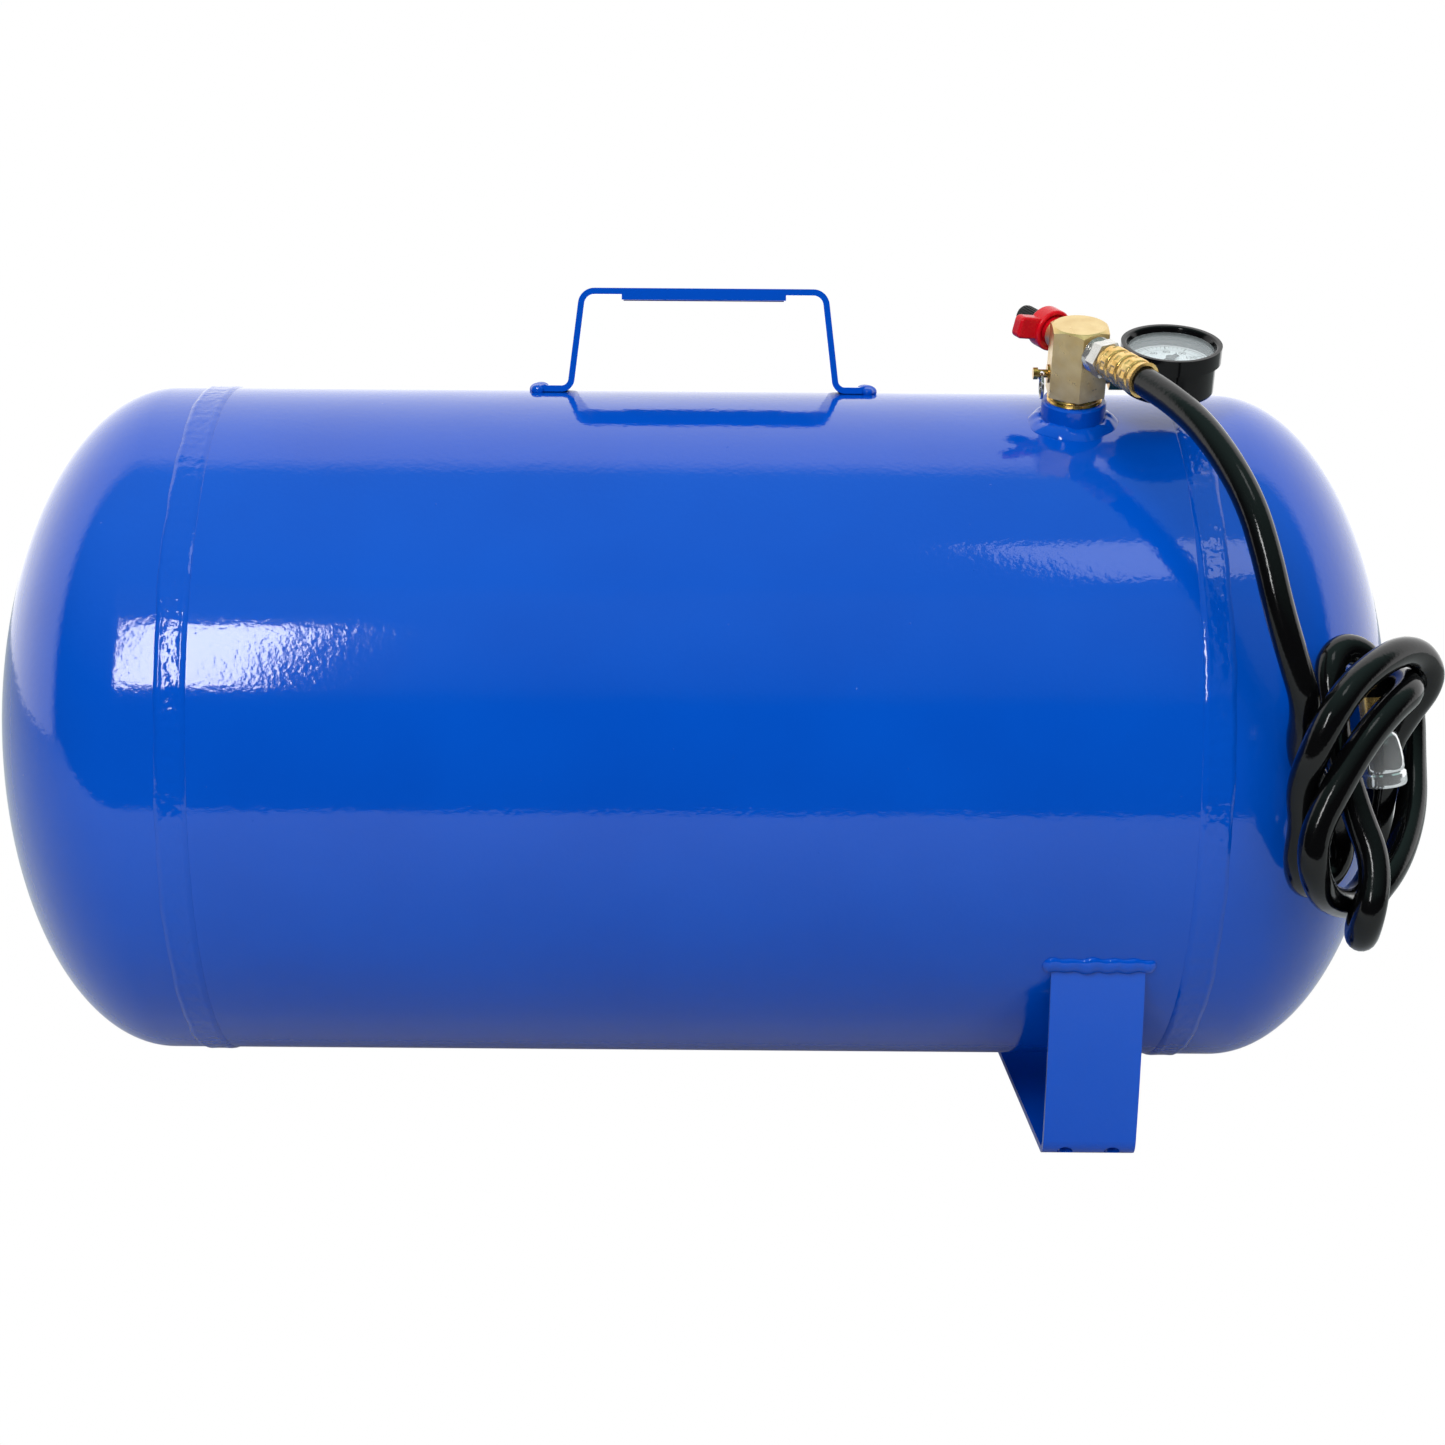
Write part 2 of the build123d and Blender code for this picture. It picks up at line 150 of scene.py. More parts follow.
def setShader(shader, **values):
    names = {
        "color": "Base Color",
        "rough": "Roughness",
        "metal": "Metallic",
        "ior": "IOR",
        "alpha": "Alpha",
        "specular": "Specular IOR Level",
    }
    for key, value in values.items():
        shader.inputs[names[key]].default_value = value


def noise(tree, coords, size, detail=2.0):
    # soft random tone from 0 to 1, its lumps as wide as size in millimetres
    inputs = {"Vector": coords, "Scale": perMm(size), "Detail": detail}
    return addNode(tree, "ShaderNodeTexNoise", inputs).outputs["Fac"]


def ramp(tree, value, low, high, toLow=0.0, toHigh=1.0):
    # straight line from toLow at low to toHigh at high, held level outside them
    inputs = {"Value": value, "From Min": low, "From Max": high, "To Min": toLow, "To Max": toHigh}
    return addNode(tree, "ShaderNodeMapRange", inputs).outputs["Result"]


def mixColor(tree, factor, low, high):
    # low (1 - f) + high f, both colours in hex
    mix = addNode(tree, "ShaderNodeMix", data_type="RGBA")
    tree.links.new(factor, mix.inputs["Factor"])
    mix.inputs["A"].default_value = linear(low)
    mix.inputs["B"].default_value = linear(high)
    return mix.outputs["Result"]


def bump(tree, shader, height, distance, after=None):
    # distance is the height of the bumps in millimetres
    inputs = {"Height": height, "Distance": distance * mm, "Strength": 1.0}
    if after is not None:
        inputs["Normal"] = after
    out = addNode(tree, "ShaderNodeBump", inputs).outputs["Normal"]
    tree.links.new(out, shader.inputs["Normal"])
    return out


def stretched(tree, coords, along):
    # coordinates squeezed to 1/25 along one axis, so that noise on them runs in long streaks
    scale = [1.0, 1.0, 1.0]
    scale[along] = 0.04
    return addNode(tree, "ShaderNodeMapping", {"Vector": coords, "Scale": scale}).outputs["Vector"]


def shades(tree, shader, tone, low, high):
    # base colour goes from low to high as the tone goes from 0.3 to 0.7
    tree.links.new(mixColor(tree, ramp(tree, tone, 0.3, 0.7), low, high), shader.inputs["Base Color"])


def gloss(tree, shader, tone, low, high, start=0.2, end=0.8):
    # roughness goes from low to high as the tone goes from start to end
    tree.links.new(ramp(tree, tone, start, end, low, high), shader.inputs["Roughness"])


def tankPaint(name, peel, lumps):
    # Gloss royal blue baked enamel, sprayed: a wet-looking skin with fine orange peel, 2.4 mm from lump
    # to lump, slow waves 34 mm long and a few dust nibs. Peel is drawn coarse enough to show.
    material, tree, shader, coords = newMaterial(name)
    setShader(shader, rough=0.07, ior=1.5)
    shades(tree, shader, noise(tree, coords, 70, 3.0), "#0049B6", "#004DBC")
    first = bump(tree, shader, noise(tree, coords, 2.4, 2.0), 0.055 * peel)
    second = bump(tree, shader, noise(tree, coords, 34, 2.0), 0.16 * peel, after=first)
    cells = addNode(tree, "ShaderNodeTexVoronoi", {"Vector": coords, "Scale": perMm(16)})
    nib = ramp(tree, cells.outputs["Distance"], 0.012, 0.035, 1.0, 0.0)
    third = bump(tree, shader, nib, 0.08, after=second)
    bump(tree, shader, noise(tree, coords, 5.0, 2.0), lumps, after=third)
    return material


def brassBar():
    # Drawn and sawn brass bar, left as machined: pale gold, satin, with tool lines along it. The lines are
    # drawn 0.5 mm apart, which is as fine as they can be and still show.
    material, tree, shader, coords = newMaterial("drawnBrassBar")
    setShader(shader, metal=0.7)
    lines = noise(tree, stretched(tree, coords, 2), 0.5, 3.0)
    shades(tree, shader, noise(tree, coords, 6, 3.0), "#D2B274", "#E6CC92")
    gloss(tree, shader, noise(tree, coords, 3, 3.0), 0.27, 0.40, 0.3, 0.7)
    first = bump(tree, shader, lines, 0.05)
    bump(tree, shader, noise(tree, coords, 0.9, 3.0), 0.03, after=first)
    return material


def brassTurned():
    # Turned free-cutting brass: deeper gold and glossier than the bar, with a 0.5 mm grain from the tool.
    material, tree, shader, coords = newMaterial("turnedBrass")
    setShader(shader, metal=1.0)
    tone = noise(tree, coords, 3, 3.0)
    shades(tree, shader, tone, "#B5883C", "#E4BC6C")
    gloss(tree, shader, tone, 0.22, 0.34)
    bump(tree, shader, noise(tree, coords, 0.5, 3.0), 0.03)
    return material


def brassPressed():
    # Pressed and crimped brass sleeve: bright yellow gold, a little uneven where the dies gripped it.
    material, tree, shader, coords = newMaterial("pressedBrass")
    setShader(shader, metal=0.75)
    tone = noise(tree, coords, 4, 3.0)
    shades(tree, shader, tone, "#DAAA58", "#F2D08A")
    gloss(tree, shader, tone, 0.20, 0.32)
    bump(tree, shader, noise(tree, coords, 0.7, 3.0), 0.02)
    return material


def plated(name, low, high, metal, roughLow, roughHigh, grain):
    # Plated steel, bright wire or drawn bronze: a smooth metal face with faint pits and wipe marks. The
    # grain is the size in millimetres of what the die or the plating leaves.
    material, tree, shader, coords = newMaterial(name)
    setShader(shader, metal=metal)
    tone = noise(tree, coords, 5, 3.0)
    shades(tree, shader, tone, low, high)
    gloss(tree, shader, tone, roughLow, roughHigh)
    bump(tree, shader, noise(tree, coords, grain, 2.0), 0.015)
    return material


def moulded(name, low, high, rough, sheen, grain, depth):
    # Injection moulded plastic, moulded rubber, or thin black enamel: even colour with a faint grain. Grain
    # is its size in millimetres and depth its height.
    material, tree, shader, coords = newMaterial(name)
    setShader(shader, specular=sheen, ior=1.49)
    tone = noise(tree, coords, 8, 3.0)
    shades(tree, shader, tone, low, high)
    gloss(tree, shader, tone, rough * 0.85, rough * 1.15)
    bump(tree, shader, noise(tree, coords, grain, 2.0), depth)
    return material


def hoseRubber():
    # Extruded rubber cover over a textile braid: gloss black, the braid showing through as a 1.4 mm stipple.
    material, tree, shader, coords = newMaterial("extrudedRubber")
    setShader(shader, color=linear("#060607"), ior=1.5, specular=0.35)
    gloss(tree, shader, noise(tree, coords, 14, 3.0), 0.09, 0.17, 0.3, 0.7)
    first = bump(tree, shader, noise(tree, coords, 1.4, 1.0), 0.04)
    bump(tree, shader, noise(tree, coords, 9, 2.0), 0.06, after=first)
    return material


def clearLens():
    # Moulded clear polycarbonate: nearly invisible, with a pale haze.
    material, tree, shader, coords = newMaterial("clearPolycarbonate")
    setShader(shader, color=linear("#EEF3F8"), alpha=0.18, ior=1.58, rough=0.06)
    bump(tree, shader, noise(tree, coords, 20, 1.0), 0.02)
    return material


finishes = {
    "tank_paint": tankPaint("bakedEnamelBlue", 1.0, 0.02),
    "weld_paint": tankPaint("bakedEnamelOverWeld", 1.5, 0.22),
    "brass_bar": brassBar(),
    "brass_turned": brassTurned(),
    "brass_ferrule": brassPressed(),
    "seal_rubber": moulded("mouldedNitrile", "#101010", "#181818", 0.55, 0.5, 1.2, 0.02),
    "spring_steel": plated("brightSpringWire", "#9A9B9C", "#C4C5C6", 0.9, 0.16, 0.28, 0.8),
    "cap_plastic": moulded("mouldedCapNylon", "#101011", "#191A1B", 0.42, 0.3, 0.8, 0.02),
    "red_plastic": moulded("mouldedKnobAcetal", "#C4081A", "#D40F1F", 0.26, 0.35, 3.0, 0.03),
    "black_enamel": moulded("pressedSteelBlackEnamel", "#060607", "#0A0A0C", 0.12, 0.2, 5.0, 0.03),
    "clear_lens": clearLens(),
    "dial_white": moulded("printedDialWhite", "#EEF3F7", "#F6F9FB", 0.45, 0.5, 0.6, 0.005),
    "needle_black": moulded("matBlackInk", "#17181A", "#202124", 0.5, 0.4, 0.6, 0.003),
    "bourdon_bronze": plated("drawnPhosphorBronze", "#8A5A2C", "#A8713C", 0.9, 0.25, 0.35, 1.0),
    "nickel": plated("nickelPlate", "#C6C3BD", "#E0DEDA", 0.8, 0.16, 0.28, 0.8),
    "hose_rubber": hoseRubber(),
    "chrome": plated("brightChrome", "#DADCDF", "#F0F1F3", 0.75, 0.08, 0.16, 2.5),
}
for part in frame["record"]["subparts"]:
    mesh = nodes[part["node"]].data
    mesh.materials.clear()
    mesh.materials.append(finishes[part["material_slot"]])
print("finishes:", len(finishes))


def addPiece(name, mesh, slotName, body):
    # the mesh as an object at the origin, with its finish, riding on its body
    mesh.materials.append(finishes[slotName])
    piece = bpy.data.objects.new(name, mesh)
    bpy.context.scene.collection.objects.link(piece)
    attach(piece, body)
    return piece


def gridMesh(name, points, wrapRows=False, caps=False, sharp=180):
    # quads over points[row, column], columns wrapping round; a row of one repeated point is a pole, and
    # doubles are merged and the normals worked out afresh before the edges are marked
    rows, columns = points.shape[:2]
    index = np.arange(rows * columns).reshape(rows, columns)
    lower = index if wrapRows else index[:-1]
    upper = np.roll(index, -1, 0) if wrapRows else index[1:]
    quads = np.stack([lower, np.roll(lower, -1, 1), np.roll(upper, -1, 1), upper], -1).reshape(-1, 4)
    faces = quads.tolist()
    if caps:
        faces += [index[0, ::-1].tolist(), index[-1].tolist()]
    mesh = bpy.data.meshes.new(name)
    mesh.from_pydata(points.reshape(-1, 3).tolist(), [], faces)
    work = bmesh.new()
    work.from_mesh(mesh)
    bmesh.ops.remove_doubles(work, verts=work.verts, dist=1e-6)
    bmesh.ops.recalc_face_normals(work, faces=work.faces)
    work.to_mesh(mesh)
    work.free()
    mesh.polygons.foreach_set("use_smooth", [True] * len(mesh.polygons))
    if sharp < 180:
        mesh.set_sharp_from_angle(angle=radians(sharp))
    return mesh


def angles(count):
    # a full turn cut into equal steps, 2 pi i / n
    return np.arange(count) * tau / count


def polar(radius, angle, height):
    # (r cos a, r sin a, h), with all three broadcast to one grid
    radius, angle, height = np.broadcast_arrays(radius, angle, height)
    return np.stack([radius * np.cos(angle), radius * np.sin(angle), height], -1)


def lathe(profile, count):
    # profile (r, z) turned round z: the grid point is (r cos a, r sin a, z)
    r, z = np.array(profile, float).T
    return polar(r[:, None], angles(count)[None], z[:, None])


def tubeAlong(path, radius, count):
    # a circle carried along the path: p + r (n cos a + b sin a), n = path's direction cross a fixed guide
    ahead = np.roll(path, -1, 0) - np.roll(path, 1, 0)
    ahead[0] = path[1] - path[0]
    ahead[-1] = path[-1] - path[-2]
    ahead /= np.linalg.norm(ahead, axis=1, keepdims=True)
    guide = np.array([0.31, 0.17, 0.93])
    side = np.cross(ahead, guide)
    side /= np.linalg.norm(side, axis=1, keepdims=True)
    other = np.cross(ahead, side)
    a = angles(count)[None, :, None]
    return path[:, None] + radius * (side[:, None] * np.cos(a) + other[:, None] * np.sin(a))


cameraSpec = {
    "distance": 1.238,         # metres from the tank's axis
    "elevation": 8.0,          # degrees
    "roll": 0.0075,            # radians
    "lens": 66.15,             # millimetres, on a 36 mm sensor
    "shiftX": 0.0197,
    "shiftY": -0.0014,
}
tilt = radians(cameraSpec["elevation"])
eye = bpy.data.cameras.new("eye")
eye.lens = cameraSpec["lens"]
eye.sensor_width = 36.0
eye.shift_x = cameraSpec["shiftX"]
eye.shift_y = cameraSpec["shiftY"]
eye.clip_start = 0.01
camera = bpy.data.objects.new("camera", eye)
bpy.context.scene.collection.objects.link(camera)
away = cameraSpec["distance"]
stand = Matrix.Translation((0, -away * cos(tilt), axisZ * mm + away * sin(tilt)))
lean = Matrix.Rotation(pi / 2 - tilt, 4, "X")
camera.matrix_world = stand @ lean @ Matrix.Rotation(cameraSpec["roll"], 4, "Z")
bpy.context.scene.camera = camera
print("camera set")

# The hose is one length from the manifold to the chuck.
hoseSpec = {
    "diameter": 12.5,
    "length": 1.1,             # metres
    "start": 22.6,             # up inside the crimped sleeve, from the manifold's axis
    "mouth": 45.0,             # where it leaves the sleeve
    "knotCentre": (270.0, -166.0, 168.0),
    "chuckSeat": 22.1,         # back from the chuck's mouth to its inner end, where the hose stops
}
chuckRow = next(m for m in frame["record"]["mounts"] if m["name"] == "chuck_mouth")
chuckDown = np.array(chuckRow["axis"])
chuck = axes(np.array(chuckRow["pos_m"]) / mm - hoseSpec["chuckSeat"] * chuckDown, (1, 0, 0), chuckDown)
hoseOut = hosePort[3]
hoseStart = hosePort[0] + hoseSpec["start"] * hoseOut
hoseMouth = hosePort[0] + hoseSpec["mouth"] * hoseOut
hangingRun = [
    (203, -136, 320),
    (213, -155, 304),
    (221, -169, 286),
    (226, -178, 266),
    (230, -184, 246),
    (236, -187, 226),
    (242.5, -186, 207.5),
]
# The knot's turns, each point (across, up, out) in an upright plane at 45 degrees to the tank. Some
# points press a turn up to about 1 mm into the next, as a tight knot does.
knotTurns = [
    (-17, 19, -19), (-7, 3, -16), (3, -13, -14), (10, -25, -14), (7, -35, -17), (-5, -38, -18),
    (-18, -34, -15), (-29, -23, -10), (-33, -8, -5), (-37, 7, -5), (-41, 23, 3), (-36, 39, 8),
    (-24, 49, 9), (-8, 56, 10), (10, 60, 10), (26, 57, 10), (35, 46, 10), (33, 30, -1), (32, 17, -8),
    (32, 0, -9), (35, -17, -13), (39, -31, -13), (29, -42, -12), (11, -47, -9), (-11, -42, -4),
    (-32, -34, 3), (-44, -21, 6), (-43, -8, 6), (-35, 9, 10), (-22, 26, 13), (-6, 38, 15), (12, 45, 15),
    (28, 46, -4), (38, 50, -11), (51, 44, -12), (57, 28, -12), (52, 11, -8), (41, -7, 0), (25, -21, 6),
    (10, -31, 9), (-2, -39, 8), (-3, -48, 5), (-10, -54, 8), (-21, -52, 16), (-26, -40, 22),
    (-20, -28, 20), (-17, -17, 16), (-17, -6, 10), (-17, 8, 4), (-15, 22, -3), (-11, 37, -8),
    (-10, 48, -11), (-5, 56, -13), (4, 60, -12), (12, 56, -7),
]
knot = axes(hoseSpec["knotCentre"], (1, 1, 0), (1, -1, 0))
knotPoints = [place(np.array(point, float), knot) for point in knotTurns]
tail = [place(np.array([0.0, 0.0, z]), chuck) for z in (-16.0, -4.0)]
route = [hoseStart * mm, (hoseMouth + 4 * hoseOut) * mm]
route += [np.array(p) * mm for p in hangingRun] + knotPoints + tail
line = bpy.data.curves.new("airHose", "CURVE")
line.dimensions = "3D"
spline = line.splines.new("NURBS")
spline.points.add(len(route) - 1)
for point, where in zip(spline.points, route):
    point.co = (*where, 1.0)
spline.order_u = 3
spline.use_endpoint_u = True
spline.resolution_u = 10
line.bevel_depth = hoseSpec["diameter"] / 2 * mm
line.bevel_resolution = 8
line.use_fill_caps = True
line.materials.append(finishes["hose_rubber"])
hose = bpy.data.objects.new("airHose", line)
bpy.context.scene.collection.objects.link(hose)
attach(hose, "root")
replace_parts(hose, "hose_run", "hose_coil")
print("hose routed")

# The tank is a rolled shell with two dished heads.
tankSpec = {
    "wall": 2.6,
    "around": 384,
    "headSteps": 72,
}


def shellPiece():
    # r constant along x, and the inside face one wall further in
    inner = shellR - tankSpec["wall"]
    along = np.linspace(-jointX, jointX, 41)
    profile = [(shellR, x) for x in along] + [(inner, jointX), (inner, -jointX)]
    points = place(lathe(profile, tankSpec["around"]), tankAxis)
    mesh = gridMesh("rolledShell", points, wrapRows=True, sharp=40)
    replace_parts(addPiece("rolledShell", mesh, "tank_paint", "root"), "tank_shell")


def headPiece(side, name, node):
    # outside: x = tangent + rise sin t, r = R cos t; inside: the same ellipse one wall smaller
    t = np.linspace(0, pi / 2, tankSpec["headSteps"])
    wall = tankSpec["wall"]
    outer = [(shellR, jointX)] + [(shellR * cos(a), tangentX + headRise * sin(a)) for a in t]
    inner = [((shellR - wall) * cos(a), tangentX + (headRise - wall) * sin(a)) for a in t[::-1]]
    profile = [(r, side * x) for r, x in outer + inner + [(shellR - wall, jointX)]]
    points = place(lathe(profile, tankSpec["around"]), tankAxis)
    piece = addPiece(name, gridMesh(name, points, wrapRows=True, sharp=60), "tank_paint", "root")
    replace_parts(piece, node)


shellPiece()
headPiece(1, "rightDishedHead", "right_head")
headPiece(-1, "leftDishedHead", "left_head")

# All the welds are painted over. Their hidden undersides lie this far inside the shell's surface.
weldSunk = 0.8
girthSpec = {
    "width": 14.0,
    "height": 1.0,
    "ripplePitch": 3.6,
    "ripple": 0.045,
    "wander": 1.0,
    "around": 720,
}


def wander(a, seed):
    # slow irregular drift round the tank: a sum of four sines of unrelated periods
    return (np.sin(3 * a + seed) + np.sin(7 * a + 2.1 * seed) + 0.7 * np.sin(19 * a + 4 * seed)
            + 0.5 * np.sin(41 * a + 5 * seed)) / 3.2


def girthWeld(side, name, node):
    # r = R + (h (0.75 + two ridges) + ripples)(1 - s^6), s across the band from -1 to 1, with bowed
    # ripples running round it
    s = np.linspace(-1, 1, 29)[:, None]
    a = angles(girthSpec["around"])[None]
    drift = girthSpec["wander"] * wander(a, 1.3 + side)
    x = jointX - girthSpec["width"] / 2 + s * (girthSpec["width"] / 2 + 0.4 * drift) + 0.5 * drift
    bow = shellR * a / girthSpec["ripplePitch"] * tau / 2 - 1.6 * s**2
    ripples = girthSpec["ripple"] * (np.sin(bow + 9.0 * wander(a, 2.0)) + 2.0 * wander(7 * a + 0.8 * s, 0.5)
                                     + 1.4 * wander(16 * a - 1.3 * s, 1.1))
    ridge = 0.25 * np.exp(-((s - 0.72) / 0.14) ** 2) + 0.18 * np.exp(-((s + 0.66) / 0.16) ** 2)
    r = shellR - 0.15 + (girthSpec["height"] * (0.75 + ridge) + ripples) * (1 - s**6)
    crest = place(polar(r, a, side * x), tankAxis)
    edges = side * np.array([[jointX - 1.0], [jointX - girthSpec["width"] + 1.0]])
    root = place(polar(shellR - weldSunk, a, edges), tankAxis)
    points = np.concatenate([crest, root])
    piece = addPiece(name, gridMesh(name, points, wrapRows=True), "weld_paint", "root")
    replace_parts(piece, node)


girthWeld(1, "rightGirthWeld", "right_weld_bead")
girthWeld(-1, "leftGirthWeld", "left_weld_bead")


def weldRun(start, end, across, outward, halfWide, halfHigh, pitch, seed):
    # bead from start to end: an ellipse e (w cos a, h sin a), e = (1 - |2u - 1|^9)^(1/2), rippled by pitch
    start, end = np.array(start, float), np.array(end, float)
    length = np.linalg.norm(end - start)
    u = np.linspace(0, 1, int(length / 0.5))[:, None, None]
    a = angles(24)[None, :, None]
    ends = np.sqrt(np.clip(1 - np.abs(2 * u - 1) ** 9, 0, 1))
    phase = tau * u * length / pitch + 0.9 * np.cos(a)
    swell = (1 + 0.10 * np.sin(phase) + 0.08 * np.sin(1.7 * phase / 3 + seed)
             + 0.06 * np.sin(phase * 0.41 + 2 * seed))
    wide = halfWide * ends * swell * np.cos(a) * np.array(across)
    high = halfHigh * ends * swell * np.sin(a) * np.array(outward)
    return start + (end - start) * u + wide + high


def joinedRuns(name, runs, node):
    # several beads in one mesh
    meshes = [gridMesh(name + "Run", run * mm) for run in runs]
    joined = bmesh.new()
    for mesh in meshes:
        joined.from_mesh(mesh)
        bpy.data.meshes.remove(mesh)
    mesh = bpy.data.meshes.new(name)
    joined.to_mesh(mesh)
    joined.free()
    mesh.polygons.foreach_set("use_smooth", [True] * len(mesh.polygons))
    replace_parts(addPiece(name, mesh, "weld_paint", "root"), node)


handleWeldSpec = {
    "reach": 18.0,             # either side of the middle
    "over": 0.4,               # above the shell's crown
    "outside": 0.6,            # beyond the strap's ends
    "halfWide": 3.6,
    "halfHigh": 2.6,
    "pitch": 3.6,
}


def handleRuns():
    # one bead across the tank at each end of the handle
    spec = handleWeldSpec
    low, high = boxMm("handle_strap")
    z = axisZ + shellR + spec["over"]
    runs = []
    for x, seed in ((low[0] - spec["outside"], 1.0), (high[0] + spec["outside"], 2.2)):
        start = (x, -spec["reach"], z)
        end = (x, spec["reach"], z)
        runs.append(weldRun(start, end, (1, 0, 0), (0, 0, 1), spec["halfWide"], spec["halfHigh"],
                            spec["pitch"], seed))
    return runs


joinedRuns("handleWeld", handleRuns(), "handle_welds")

footWeldSpec = {
    "topY": 125.5,             # where the strap's top edge meets the shell
    "topZ": 87.5,
    "over": 0.8,
    "outside": 4.5,            # beyond the strap's sides
    "halfWide": 4.3,
    "halfHigh": 2.8,
    "pitch": 9.0,
}


def footRuns():
    # one bead along each top edge of the foot, facing straight out from the tank's axis
    spec = footWeldSpec
    low, high = boxMm("foot_strap")
    runs = []
    for side, seed in ((-1, 0.4), (1, 1.9)):
        slope = np.array([0, side * spec["topY"], spec["topZ"] - axisZ])
        outward = slope / np.linalg.norm(slope)
        across = np.cross((1, 0, 0), outward)
        middle = np.array([0, side * spec["topY"], spec["topZ"] + spec["over"]])
        start = middle + (low[0] - spec["outside"], 0, 0)
        end = middle + (high[0] + spec["outside"], 0, 0)
        runs.append(weldRun(start, end, across, outward, spec["halfWide"], spec["halfHigh"],
                            spec["pitch"], seed))
    return runs


joinedRuns("footWeld", footRuns(), "foot_welds")

bossWeldSpec = {
    "radius": 13.9,            # of the half coupling it goes round
    "flare": 6.4,
    "rise": 3.4,
    "around": 240,
}


def bossWeld():
    # rho = rb + f t k, z = sqrt(R^2 - (rho sin a)^2) + g b ((1 - t)^1.6 + 0.42 sin(pi t)^0.8) - t / 4, with
    # k and b sums of sines that make it uneven round the coupling
    bossR, flare, rise = bossWeldSpec["radius"], bossWeldSpec["flare"], bossWeldSpec["rise"]
    t = np.linspace(0, 1, 15)[:, None]
    a = angles(bossWeldSpec["around"])[None]
    beads = (1 + 0.05 * np.sin(13 * a + 1.5 * np.sin(2 * a) + 1.2 * t) + 0.14 * np.sin(3 * a + 1.0)
             + 0.10 * np.sin(5 * a))
    uneven = (0.9 + 0.10 * np.sin(2 * a + 0.6) + 0.08 * np.sin(5 * a + 2.0)
              + 0.05 * np.sin(9 * a))
    rho = bossR + flare * t * uneven
    ground = np.sqrt(shellR**2 - (rho * np.sin(a)) ** 2)
    z = ground + rise * beads * ((1 - t) ** 1.6 + 0.42 * np.sin(pi * np.clip(t, 0, 1)) ** 0.8) - 0.25 * t
    skirt = np.stack([np.full_like(a, bossR + 4.0), np.full_like(a, bossR)])[:, 0]
    under = np.sqrt(shellR**2 - (skirt * np.sin(a)) ** 2) - 1.0
    points = np.concatenate([polar(rho, a, z), polar(skirt, a, under)])
    mesh = gridMesh("bossWeld", place(points, station), wrapRows=True)
    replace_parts(addPiece("bossWeld", mesh, "weld_paint", "root"), "boss_weld")


bossWeld()

seamSpec = {
    "turn": -140,              # degrees from the top, round the back
    "short": 14.0,             # stops this far from the girth joints
    "halfWide": 3.2,
    "height": 1.0,
    "pitch": 3.4,
    "steps": 900,
}


def longSeam():
    # r = R + h (1 - s^2)(1 + bowed ripple) - 0.1, s across it from -1 to 1, at an angle w s / R
    end = jointX - seamSpec["short"]
    x = np.linspace(-end, end, seamSpec["steps"])[:, None]
    s = np.linspace(-1, 1, 11)[None]
    ripple = 1 + 0.16 * np.sin(tau * x / seamSpec["pitch"] - 1.5 * s**2)
    r = shellR + (seamSpec["height"] * (1 - s**2) * ripple - 0.1)
    a = radians(seamSpec["turn"]) + s * seamSpec["halfWide"] / shellR
    flip = a[:, ::-1]
    low = shellR - weldSunk
    top = np.stack([x + 0 * s, -r * np.sin(a) + 0 * x, axisZ + r * np.cos(a) + 0 * x], -1)
    base = np.stack([x + 0 * s, -low * np.sin(flip) + 0 * x, axisZ + low * np.cos(flip) + 0 * x], -1)
    mesh = gridMesh("longSeamWeld", np.concatenate([top, base], 1) * mm, caps=True)
    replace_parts(addPiece("longSeamWeld", mesh, "weld_paint", "root"), "shell_seam")


longSeam()
print("tank and welds made")

shankThreadSpec = {
    "radius": 11.6,
    "low": 162.2,              # up the boss, from the tank's axis
    "high": 166.6,
    "pitch": 1.8,
    "depth": 0.8,
}
nippleThreadSpec = {
    "radius": 7.3,
    "low": 11.8,               # out along the port, from the manifold's axis
    "high": 16.2,
    "pitch": 1.35,
    "depth": 0.9,
}


def threadPiece(name, where, spec, slotName):
    # r = R + d (|2 frac(z / p - a / 2pi) - 1| - 0.5), a screw thread as a helical ripple
    low, high, pitch = spec["low"], spec["high"], spec["pitch"]
    z = np.linspace(low, high, int((high - low) / pitch * 16) + 1)[:, None]
    a = angles(96)[None]
    turn = (z / pitch - a / tau) % 1
    r = spec["radius"] + spec["depth"] * (np.abs(2 * turn - 1) - 0.5)
    inner = spec["radius"] - 1.2
    ends = [polar(inner, a, np.array([[high]])), polar(inner, a, np.array([[low]]))]
    points = np.concatenate([polar(r, a, z), *ends])
    mesh = gridMesh(name, place(points, where), wrapRows=True, sharp=50)
    return addPiece(name, mesh, slotName, "root")


threadPiece("shankThread", station, shankThreadSpec, "brass_turned")
threadPiece("nippleThread", hosePort, nippleThreadSpec, "nickel")

sleeveSpec = {
    "radius": 7.0,
    "bore": 6.3,
    "low": 20.8,               # out along the port, from the manifold's axis
    "high": 45.0,
    "rings": (25.9, 32.5, 39.1),
    "swell": 0.75,
    "dimple": 0.40,
}


